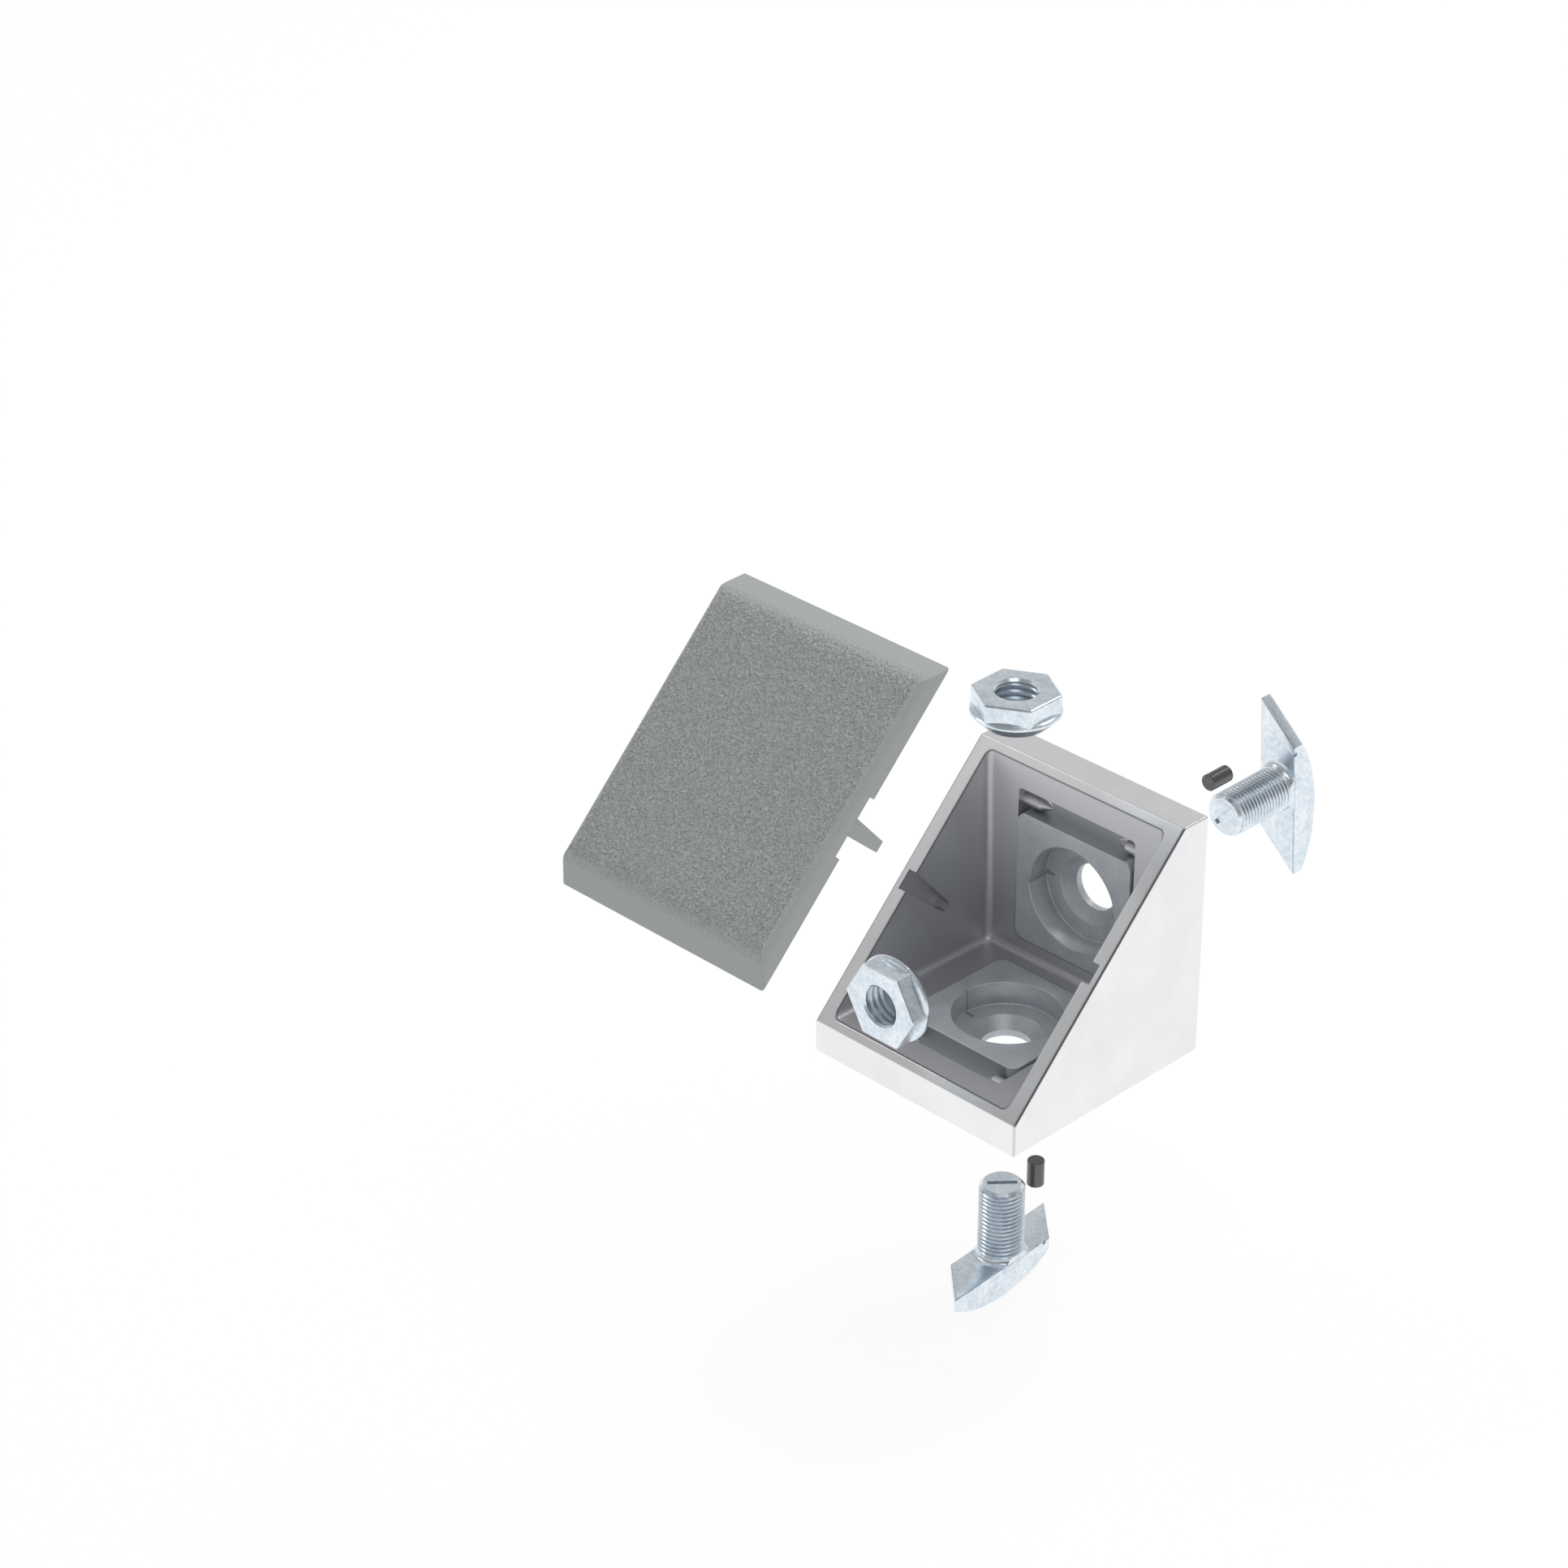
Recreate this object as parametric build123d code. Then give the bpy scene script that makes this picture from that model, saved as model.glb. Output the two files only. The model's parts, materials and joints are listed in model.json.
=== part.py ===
from build123d import *
import os
from math import hypot, radians, sqrt, tan

# Corner bracket set for slotted profiles, pulled apart. Millimetres, +Z up.
# The origin is on the base bore's axis, on the base's outer face. X runs across the
# bracket, +Y points at the upright profile and -Y at the bracket's toe.

# Cast corner shell
shell_width = 44.6
shell_depth = 45.0
shell_height = 45.0
toe_height = 6.0
top_depth = 6.0
bore_from_corner = 22.5
wall_at_corner = 7.35
wall_at_rim = 7.06
side_at_corner = 4.03
side_at_rim = 2.86
outer_edge_radius = 0.35
cavity_corner_radius = 1.2
rim_edge_radius = 0.3

# Window in the base and in the back wall, one seat plate in each
plate_width = 25.0
plate_length = 24.4
plate_corner_radius = 2.0
plate_edge_radius = 0.25
window_side_gap = 0.6
window_end_gap = 4.4
window_near_radius = 2.0
window_far_radius = 0.8

# Retaining noses on the window's side walls, just past the plate's far end
nose_radius = 1.35
nose_length = 2.6
nose_taper = 2.4
nose_point_radius = 0.16
nose_depth = 2.75
nose_from_side = 0.6
nose_to_plate = 0.1
nose_margin = 1.0

# Stepped seat in the plate
seat_radius = 9.3
seat_floor = 3.1
dish_radius = 6.15
bore_radius = 4.25
dish_angle = 45.0
seat_edge_radius = 0.25
seat_inner_radius = 0.25
key_radius = 0.5
key_tail_length = 1.8
key_tail_width = 0.6
key_tail_depth = 0.35

# Clip pockets in the side walls and the clip tabs that spring into them
pocket_mouth = 3.7
pocket_tip = 1.9
pocket_reach = 11.9
pocket_tip_radius = 0.8
pocket_skin = 1.2
tab_root = 2.9
tab_tip = 1.9
tab_tip_radius = 0.2
tab_reach = 8.2
tab_root_thickness = 1.6
tab_tip_thickness = 0.9
tab_clearance = 0.15

# Clip-on cap
cap_inset = 0.55
cap_thickness = 4.24
cap_shoulder_radius = 6.0
cap_edge_radius = 1.8
cap_end_radius = 0.5
cap_wall = 1.8
skirt_notch_length = 10.2
skirt_notch_height = 1.15

# Collar nut, M8
thread_radius = 4.0
nut_bore_radius = 3.35
nut_mouth_radius = 3.75
nut_across_flats = 13.0
nut_hex_height = 3.3
nut_crown_drop = 0.4
collar_radius = 7.5
collar_rim = 0.35
nut_height = 5.7
nut_edge_radius = 0.18

# T-head bolt, M8
shank_length = 14.2
shank_end_radius = 3.3
head_half_width = 3.71
head_half_span = 8.75
head_edge_thickness = 2.3
head_thickness = 5.8
neck_radius = 5.0
neck_height = 1.0
shank_root = 1.4
marker_length = 5.1
marker_width = 0.9
marker_depth = 0.45
dimple_radius = 0.42
dimple_below_top = 0.36
dimple_from_corner = 1.35
slot_lip = 4.5

# Locating pin
pin_radius = 1.5
pin_length = 4.9
pin_offset = 8.5
pin_hole_depth = 2.0
pin_clearance = 0.03
pin_edge = 0.12

# How far each piece is drawn away from its seat, and how it is turned
cap_pull = 75.35
cap_drift = 3.64
base_nut_pull = 60.26
back_nut_pull = 45.12
base_bolt_pull = 36.58
back_bolt_pull = 41.5
base_pin_pull = 28.35
back_pin_pull = 29.0
base_bolt_turn = 2.4
back_bolt_turn = 3.4
base_nut_turn = 90.0
back_nut_turn = 0.0

# Values worked out from the ones above
corner_y = bore_from_corner
toe_y = corner_y - shell_depth
slope_run = shell_depth - top_depth
slope_rise = shell_height - toe_height
slope_length = hypot(slope_run, slope_rise)
slope_dir = Vector(0, slope_run, slope_rise) / slope_length
slope_out = Vector(0, -slope_rise, slope_run) / slope_length
slope_middle = Vector(0, toe_y, toe_height) + slope_dir * (slope_length / 2)
inner_corner = Vector(0, corner_y - wall_at_corner, wall_at_corner)
cavity_depth = (slope_middle - inner_corner).dot(slope_out)
window_near = bore_from_corner - plate_length / 2
window_far = window_near + plate_length + window_end_gap
nose_centre = plate_length / 2 + nose_to_plate + nose_radius
pocket_floor = shell_width / 2 - pocket_skin
tab_outer = pocket_floor - tab_clearance
cap_half_width = shell_width / 2 - cap_inset
overrun = 3.0
same_place = 0.02

# The slope's own frame, seen along X: local x up the slope, local y out of the shell
side_plane = Plane(origin=slope_middle, x_dir=slope_dir, z_dir=(1, 0, 0))
slope_plane = Plane(origin=slope_middle, x_dir=slope_dir, z_dir=slope_out)
# The back wall's frame: what stands on the base's outer face, swung up onto the back's
back_wall = Pos(0, corner_y, bore_from_corner) * Rot(90, 0, 0)


def prism_yz(points, half_width):
    """Closed outline in the YZ plane, carried the same way to both sides of X = 0."""
    outline = Plane.YZ * Polygon(*points, align=None)
    return extrude(outline, amount=half_width, both=True)


def on_both_sides(solid):
    return [solid, mirror(solid, about=Plane.YZ)]


def shell_block():
    block = prism_yz(
        [
            (toe_y, 0),
            (corner_y, 0),
            (corner_y, shell_height),
            (corner_y - top_depth, shell_height),
            (toe_y, toe_height),
        ],
        shell_width / 2,
    )
    return fillet(block.edges(), outer_edge_radius)


def cavity():
    """Drafted hollow behind the slope, wider at the rim than at the inner corner."""
    toward_toe = Vector(0, toe_y + (wall_at_rim - toe_height) * slope_run / slope_rise, wall_at_rim)
    top_z = shell_height - (wall_at_rim - top_depth) * slope_rise / slope_run
    toward_top = Vector(0, corner_y - wall_at_rim, top_z)
    floor_end = toward_toe + (toward_toe - inner_corner).normalized() * overrun
    wall_end = toward_top + (toward_top - inner_corner).normalized() * overrun
    section = prism_yz([(p.Y, p.Z) for p in (inner_corner, floor_end, wall_end)], shell_width)
    lean = (side_at_corner - side_at_rim) / cavity_depth
    slices = []
    for height in (overrun, -cavity_depth - overrun):
        half = shell_width / 2 - side_at_rim + lean * height
        slices.append(Pos(0, 0, height) * Rectangle(3 * slope_length, 2 * half))
    hollow = section & (slope_plane * loft(slices))
    inside = [e for e in hollow.edges() if (e.center() - slope_middle).dot(slope_out) < 0]
    return fillet(inside, cavity_corner_radius)


def clip_outline(root, tip, reach, tip_radius):
    """Tapered tongue with rounded tip corners, pointing into the shell from the slope."""
    taper = (root - tip) / reach
    sketch = Polygon(
        (-(root + taper * overrun) / 2, overrun),
        (-tip / 2, -reach),
        (tip / 2, -reach),
        ((root + taper * overrun) / 2, overrun),
        align=None,
    )
    return fillet(sketch.vertices().sort_by(Axis.Y)[:2], tip_radius)


def clip_pocket():
    outline = clip_outline(pocket_mouth, pocket_tip, pocket_reach, pocket_tip_radius)
    inner = shell_width / 2 - side_at_corner - overrun
    return extrude(side_plane.offset(inner) * outline, amount=pocket_floor - inner)


def window_cut(away, wall):
    """Plate window round the bore's axis. It is longer than the plate, away from the corner."""
    low = window_near - bore_from_corner
    high = window_far - bore_from_corner
    sketch = Pos(window_side_gap / 2, away * (low + high) / 2) * Rectangle(
        plate_width + window_side_gap, high - low
    )
    corners = sketch.vertices().sort_by(Axis.Y, reverse=away < 0)
    sketch = fillet(corners[:2], window_near_radius)
    corners = sketch.vertices().sort_by(Axis.Y, reverse=away < 0)
    sketch = fillet(corners[-2:], window_far_radius)
    return extrude(Pos(0, 0, -overrun) * sketch, amount=wall + 2 * overrun)


def retaining_nose(away, side):
    """Round nose that tapers off along the plate's far end."""
    half = plate_width / 2 + (window_side_gap if side > 0 else 0)
    start = half - nose_from_side
    height = wall_at_corner - nose_depth
    bar = Cylinder(nose_radius, nose_length, align=(Align.CENTER, Align.CENTER, Align.MIN))
    tail = Cone(nose_radius, nose_point_radius, nose_taper, align=(Align.CENTER, Align.CENTER, Align.MIN))
    tail = Pos(0, 0, nose_length) * tail
    root = Cylinder(nose_radius, nose_from_side + nose_margin, align=(Align.CENTER, Align.CENTER, Align.MAX))
    nose = Rot(0, -90 * side, 0) * (bar + tail + root)
    return Pos(side * start, away * nose_centre, height) * nose


def window_noses(away):
    """The part of the four noses that stands in the window or is sunk in the wall round it."""
    noses = [retaining_nose(away, side) for side in (-1, 1)]
    keep = Pos(0, away * nose_centre, wall_at_corner / 2) * Box(
        plate_width + 2 * window_side_gap + nose_margin, 3 * nose_radius, wall_at_corner - 2 * nose_margin
    )
    return [nose & keep for nose in noses]


def bracket_body():
    body = shell_block() - cavity()
    rim = [
        e
        for e in body.edges()
        if abs((e.center() - slope_middle).dot(slope_out)) < same_place
        and abs(e.center().X) < shell_width / 2 - side_at_rim / 2
        and wall_at_rim - rim_edge_radius < e.center().Z
        and e.center().Y < corner_y - wall_at_rim + rim_edge_radius
    ]
    body = fillet(rim, rim_edge_radius)
    body = body - on_both_sides(clip_pocket())
    body = body - window_cut(-1, wall_at_corner) - back_wall * window_cut(1, wall_at_corner)
    for nose in window_noses(-1):
        body = body + nose
    for nose in window_noses(1):
        body = body + back_wall * nose
    return body


def seat_plate():
    """Plate with a stepped seat, its outer face on Z = 0 and its bore on the Z axis."""
    plate = extrude(RectangleRounded(plate_width, plate_length, plate_corner_radius), amount=wall_at_corner)
    plate = fillet(plate.faces().sort_by(Axis.Z)[-1].edges(), plate_edge_radius)
    dish_drop = (dish_radius - bore_radius) / tan(radians(dish_angle))
    section = Polygon(
        (0, -overrun),
        (bore_radius, -overrun),
        (bore_radius, seat_floor - dish_drop),
        (dish_radius, seat_floor),
        (seat_radius, seat_floor),
        (seat_radius, wall_at_corner + overrun),
        (0, wall_at_corner + overrun),
        align=None,
    )
    floor_ends = [v for v in section.vertices() if abs(v.Y - seat_floor) < same_place]
    section = Plane.XZ * fillet(floor_ends, seat_inner_radius)
    plate = plate - revolve(section, Axis.Z)
    mouth = [
        e
        for e in plate.edges().filter_by(GeomType.CIRCLE)
        if abs(e.radius - seat_radius) < same_place and e.center().Z > (seat_floor + wall_at_corner) / 2
    ]
    plate = fillet(mouth, seat_edge_radius)
    key = Pos(-seat_radius, 0, seat_floor) * Cylinder(
        key_radius, wall_at_corner, align=(Align.CENTER, Align.CENTER, Align.MIN)
    )
    tail = Pos(-seat_radius + key_tail_length / 2, 0, seat_floor) * Box(
        key_tail_length, key_tail_width, 2 * key_tail_depth
    )
    pin_hole = Pos(0, pin_offset, -overrun) * Cylinder(
        pin_radius + pin_clearance, pin_hole_depth + overrun, align=(Align.CENTER, Align.CENTER, Align.MIN)
    )
    return plate - key - tail - pin_hole


def collar_nut():
    """Hexagon on a round collar with a seat cone below. Its hexagon face is on Z = 0."""
    rim_top = -nut_hex_height
    rim_low = rim_top - collar_rim
    flat_radius = nut_across_flats / 2
    crown = rim_top + nut_crown_drop * flat_radius / (collar_radius - flat_radius)
    cone_drop = nut_height + rim_low
    section = Plane.XZ * Polygon(
        (0, crown),
        (flat_radius / 2, crown),
        (collar_radius, rim_top),
        (collar_radius, rim_low),
        (collar_radius - cone_drop, -nut_height),
        (0, -nut_height),
        align=None,
    )
    collar = revolve(section, Axis.Z)
    hexagon = Pos(0, 0, -nut_hex_height) * extrude(
        RegularPolygon(flat_radius, 6, major_radius=False), amount=nut_hex_height
    )
    hexagon = fillet(hexagon.faces().sort_by(Axis.Z)[-1].edges(), nut_edge_radius)
    mouth_drop = nut_mouth_radius - nut_bore_radius
    bore = Plane.XZ * Polygon(
        (0, overrun),
        (nut_mouth_radius + overrun, overrun),
        (nut_bore_radius, -mouth_drop),
        (nut_bore_radius, -nut_height + mouth_drop),
        (nut_mouth_radius + overrun, -nut_height - overrun),
        (0, -nut_height - overrun),
        align=None,
    )
    return collar + hexagon - revolve(bore, Axis.Z)


def t_bolt():
    """T-head bolt. Its head face is on Z = 0, its shank stands up along the Z axis."""
    across_ends = Plane(origin=(0, 0, 0), x_dir=(1, 1, 0), z_dir=(1, -1, 0))
    reach = 2 * head_half_span
    outline = Polyline(
        (-head_half_span, -head_edge_thickness),
        (-head_half_span, 0),
        (head_half_span, 0),
        (head_half_span, -head_edge_thickness),
    ) + ThreePointArc(
        (-head_half_span, -head_edge_thickness),
        (0, -head_thickness),
        (head_half_span, -head_edge_thickness),
    )
    bar = extrude(across_ends * make_face(outline), amount=reach, both=True)
    head = bar & Box(2 * head_half_width, 4 * reach, 4 * head_thickness)
    shank_profile = Plane.XZ * Polygon(
        (0, -shank_root),
        (thread_radius, -shank_root),
        (thread_radius, shank_length - (thread_radius - shank_end_radius)),
        (shank_end_radius, shank_length),
        (0, shank_length),
        align=None,
    )
    hollow = (neck_radius - thread_radius) * (1 - sqrt(0.5))
    neck_outline = Polyline(
        (thread_radius, neck_height),
        (0, neck_height),
        (0, -shank_root),
        (neck_radius, -shank_root),
        (neck_radius, 0),
    ) + ThreePointArc(
        (neck_radius, 0),
        (thread_radius + hollow, hollow * neck_height / (neck_radius - thread_radius)),
        (thread_radius, neck_height),
    )
    neck = revolve(Plane.XZ * make_face(neck_outline), Axis.Z) & Box(
        2 * head_half_width, 4 * neck_radius, 4 * neck_height
    )
    bolt = head + revolve(shank_profile, Axis.Z) + neck
    marker = Pos(0, 0, shank_length) * Rot(0, 0, 45) * Box(marker_length, marker_width, 2 * marker_depth)
    side_end = head_half_span * sqrt(2) - head_half_width
    dimple = Pos(head_half_width, side_end - dimple_from_corner, -dimple_below_top) * Sphere(dimple_radius)
    return bolt - marker - dimple - Rot(0, 0, 180) * dimple


def locating_pin():
    """Plain pin standing on the Z axis with its inner end on Z = 0."""
    pin = Cylinder(pin_radius, pin_length, align=(Align.CENTER, Align.CENTER, Align.MAX))
    return chamfer(pin.edges().filter_by(GeomType.CIRCLE), pin_edge)


def cover_cap():
    """Cap on its seat: its base plane lies on the shell's slope."""
    half = slope_length / 2
    toe_shift = cap_thickness * slope_rise / slope_run
    top_shift = cap_thickness * slope_run / slope_rise
    outline = Polygon(
        (half, 0),
        (half - top_shift, cap_thickness),
        (toe_shift - half, cap_thickness),
        (-half, 0),
        align=None,
    )
    shoulders = [v for v in outline.vertices() if v.Y > cap_thickness / 2]
    outline = fillet(shoulders, cap_shoulder_radius)
    along = extrude(side_plane * outline, amount=cap_half_width, both=True)
    side_rims = [
        e
        for e in along.edges()
        if abs(abs(e.center().X) - cap_half_width) < same_place
        and (e.center() - slope_middle).dot(slope_out) > same_place
    ]
    along = fillet(side_rims, cap_end_radius)
    front = Pos(0, cap_thickness / 2) * Rectangle(2 * cap_half_width, cap_thickness)
    front = fillet(front.vertices().group_by(Axis.Y)[-1], cap_edge_radius)
    front_plane = Plane(origin=slope_middle, x_dir=(1, 0, 0), z_dir=-slope_dir)
    across = extrude(front_plane * front, amount=slope_length, both=True)
    block = along & across
    under = slope_plane.offset(-overrun) * Rectangle(
        slope_length - 2 * cap_thickness, 2 * (cap_half_width - cap_wall)
    )
    under_cut = extrude(under, amount=overrun + cap_thickness - cap_wall)
    cap = block - under_cut
    notch = side_plane.offset(-shell_width) * Rectangle(skirt_notch_length, 2 * skirt_notch_height)
    cap = cap - extrude(notch, amount=2 * shell_width)
    return cap + on_both_sides(clip_tab())


def clip_tab():
    """Tongue that hangs from the cap's skin into the shell's clip pocket, thinner at its tip."""
    outline = clip_outline(tab_root, tab_tip, tab_reach, tab_tip_radius)
    inner = tab_outer - tab_root_thickness
    tab = extrude(side_plane.offset(inner) * outline, amount=tab_root_thickness)
    top = cap_thickness - cap_wall / 2
    taper = Polygon(
        (tab_outer, -tab_reach),
        (tab_outer, top),
        (tab_outer - tab_root_thickness, top),
        (tab_outer - tab_root_thickness, 0),
        (tab_outer - tab_tip_thickness, -tab_reach),
        align=None,
    )
    front_plane = Plane(origin=slope_middle, x_dir=(1, 0, 0), z_dir=-slope_dir)
    return tab & extrude(front_plane * taper, amount=slope_length, both=True)


# Seats, then the places where the pieces are drawn
nut_seat = seat_floor - dish_radius + collar_radius + nut_hex_height + collar_rim
cap_move = slope_out * cap_pull - slope_dir * cap_drift

pieces = {
    "bracket_body": bracket_body(),
    "base_seat_plate": seat_plate(),
    "back_seat_plate": back_wall * seat_plate(),
    "cover_cap": Pos(*cap_move) * cover_cap(),
    "base_collar_nut": Pos(0, 0, nut_seat + base_nut_pull) * Rot(0, 0, base_nut_turn) * collar_nut(),
    "back_collar_nut": back_wall
    * Pos(0, 0, nut_seat + back_nut_pull)
    * Rot(0, 0, back_nut_turn)
    * collar_nut(),
    "base_t_bolt": Pos(0, 0, -slot_lip - base_bolt_pull) * Rot(0, 0, base_bolt_turn) * t_bolt(),
    "back_t_bolt": back_wall
    * Pos(0, 0, -slot_lip - back_bolt_pull)
    * Rot(0, 0, back_bolt_turn)
    * t_bolt(),
    "base_pin": Pos(0, pin_offset, pin_hole_depth - base_pin_pull) * locating_pin(),
    "back_pin": back_wall * Pos(0, pin_offset, pin_hole_depth - back_pin_pull) * locating_pin(),
}

os.makedirs("parts", exist_ok=True)
for name, shape in pieces.items():
    export_step(shape, f"parts/{name}.step")
    print(name, round(shape.volume, 1))
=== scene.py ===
"""Studio scene of a corner bracket set for slotted profiles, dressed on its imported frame. Metres."""

from __future__ import annotations

import json
import logging
import math
from dataclasses import dataclass
from enum import Enum
from typing import Any, Sequence

import bmesh
import bpy
from mathutils import Matrix, Vector

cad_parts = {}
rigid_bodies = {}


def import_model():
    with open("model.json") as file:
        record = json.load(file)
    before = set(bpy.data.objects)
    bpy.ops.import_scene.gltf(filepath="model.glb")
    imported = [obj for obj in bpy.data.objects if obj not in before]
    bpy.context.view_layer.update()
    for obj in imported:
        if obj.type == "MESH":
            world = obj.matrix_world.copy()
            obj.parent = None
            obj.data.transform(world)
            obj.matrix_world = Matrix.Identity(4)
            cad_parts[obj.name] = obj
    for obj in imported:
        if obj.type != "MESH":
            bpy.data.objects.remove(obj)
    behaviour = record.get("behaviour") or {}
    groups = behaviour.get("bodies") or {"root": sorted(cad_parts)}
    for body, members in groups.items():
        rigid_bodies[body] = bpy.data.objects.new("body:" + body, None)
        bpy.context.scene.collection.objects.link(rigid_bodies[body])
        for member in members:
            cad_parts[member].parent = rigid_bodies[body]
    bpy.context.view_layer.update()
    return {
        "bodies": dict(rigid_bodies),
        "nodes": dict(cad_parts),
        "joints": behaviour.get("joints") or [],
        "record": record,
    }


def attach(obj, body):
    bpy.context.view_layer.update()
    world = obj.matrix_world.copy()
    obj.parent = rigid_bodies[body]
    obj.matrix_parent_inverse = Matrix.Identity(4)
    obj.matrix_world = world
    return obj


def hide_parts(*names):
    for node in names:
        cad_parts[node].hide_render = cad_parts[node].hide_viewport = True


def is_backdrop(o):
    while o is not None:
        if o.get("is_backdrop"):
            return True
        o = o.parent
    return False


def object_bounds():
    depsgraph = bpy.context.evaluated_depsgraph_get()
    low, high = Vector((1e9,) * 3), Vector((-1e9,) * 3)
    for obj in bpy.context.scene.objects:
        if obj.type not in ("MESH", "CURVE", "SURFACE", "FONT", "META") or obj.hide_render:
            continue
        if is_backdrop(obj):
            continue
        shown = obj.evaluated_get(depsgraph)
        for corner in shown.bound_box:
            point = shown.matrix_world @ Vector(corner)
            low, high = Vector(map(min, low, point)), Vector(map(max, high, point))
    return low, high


LOG = logging.getLogger("corner_bracket")
MM = 0.001
# A smooth-shaded zone reaches this much past the thread that it holds
ZONE_MARGIN = 1.01
Colour = tuple[float, float, float, float]
Point = tuple[float, float, float]


def linear(hex_colour: str) -> Colour:
    """Turns an sRGB hex colour into linear light.

    Args:
        hex_colour: Six hex digits after a hash sign.

    Returns:
        Red, green, blue and alpha in linear light.
    """
    steps = [int(hex_colour[i : i + 2], 16) / 255 for i in (1, 3, 5)]
    red, green, blue = (v / 12.92 if v <= 0.04045 else ((v + 0.055) / 1.055) ** 2.4 for v in steps)
    return red, green, blue, 1.0


def add_node(
    tree: bpy.types.NodeTree,
    kind: str,
    settings: dict[str | int, Any] | None = None,
    links: dict[str | int, bpy.types.NodeSocket] | None = None,
) -> bpy.types.Node:
    """Adds a node with its settings and links.

    Args:
        tree: The node tree that gets the node.
        kind: Blender's type name of the node.
        settings: Values of the node's own properties, or of its inputs, by name or number.
        links: Sockets to join to the node's inputs, by the input's name or number.

    Returns:
        The new node.
    """
    node = tree.nodes.new(kind)
    for name, value in (settings or {}).items():
        if isinstance(name, str) and name not in node.inputs:
            setattr(node, name, value)
        else:
            node.inputs[name].default_value = value
    for name, socket in (links or {}).items():
        tree.links.new(node.inputs[name], socket)
    return node


def set_ramp(node: bpy.types.Node, stops: Sequence[tuple[float, Colour]]) -> None:
    """Gives a colour ramp its stops.

    Args:
        node: The colour ramp node.
        stops: Place and colour of each stop, in order.
    """
    elements = node.color_ramp.elements
    while len(elements) > len(stops):
        elements.remove(elements[-1])
    while len(elements) < len(stops):
        elements.new(1.0)
    for element, (place, colour) in zip(elements, stops):
        element.position = place
        element.color = colour


def new_material(name: str) -> tuple[bpy.types.Material, bpy.types.NodeTree, bpy.types.NodeSocket]:
    """Makes a material with an object-space coordinate and no shader yet.

    Args:
        name: The material's name.

    Returns:
        The material, its node tree and the coordinate socket in metres.
    """
    material = bpy.data.materials.new(name)
    material.use_nodes = True
    tree = material.node_tree
    tree.nodes.clear()
    place = add_node(tree, "ShaderNodeTexCoord")
    return material, tree, place.outputs["Object"]


def surface(tree: bpy.types.NodeTree, shader: bpy.types.Node) -> None:
    """Joins a shader to the material's output."""
    add_node(tree, "ShaderNodeOutputMaterial", links={"Surface": shader.outputs[0]})


def per_patch(size_mm: float) -> float:
    """Gives a texture's scale for patches of a real size in millimetres."""
    return 1 / (size_mm * MM)


def within(
    tree: bpy.types.NodeTree,
    limits: Sequence[tuple[bpy.types.NodeSocket, float, float]],
    blend: str = "LINEAR",
) -> bpy.types.NodeSocket:
    """Makes the mask of places that lie within every limit.

    Args:
        tree: The node tree.
        limits: A measure in metres, and where in millimetres its mask is 0 and where it is 1.
        blend: How the mask goes from one to the other.

    Returns:
        The mask.
    """
    inside = None
    for value, outer, inner in limits:
        mask = add_node(
            tree,
            "ShaderNodeMapRange",
            {"interpolation_type": blend, "From Min": outer * MM, "From Max": inner * MM},
            {"Value": value},
        ).outputs["Result"]
        if inside is not None:
            both = add_node(tree, "ShaderNodeMath", {"operation": "MULTIPLY"}, {0: inside, 1: mask})
            mask = both.outputs[0]
        inside = mask
    return inside


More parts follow.
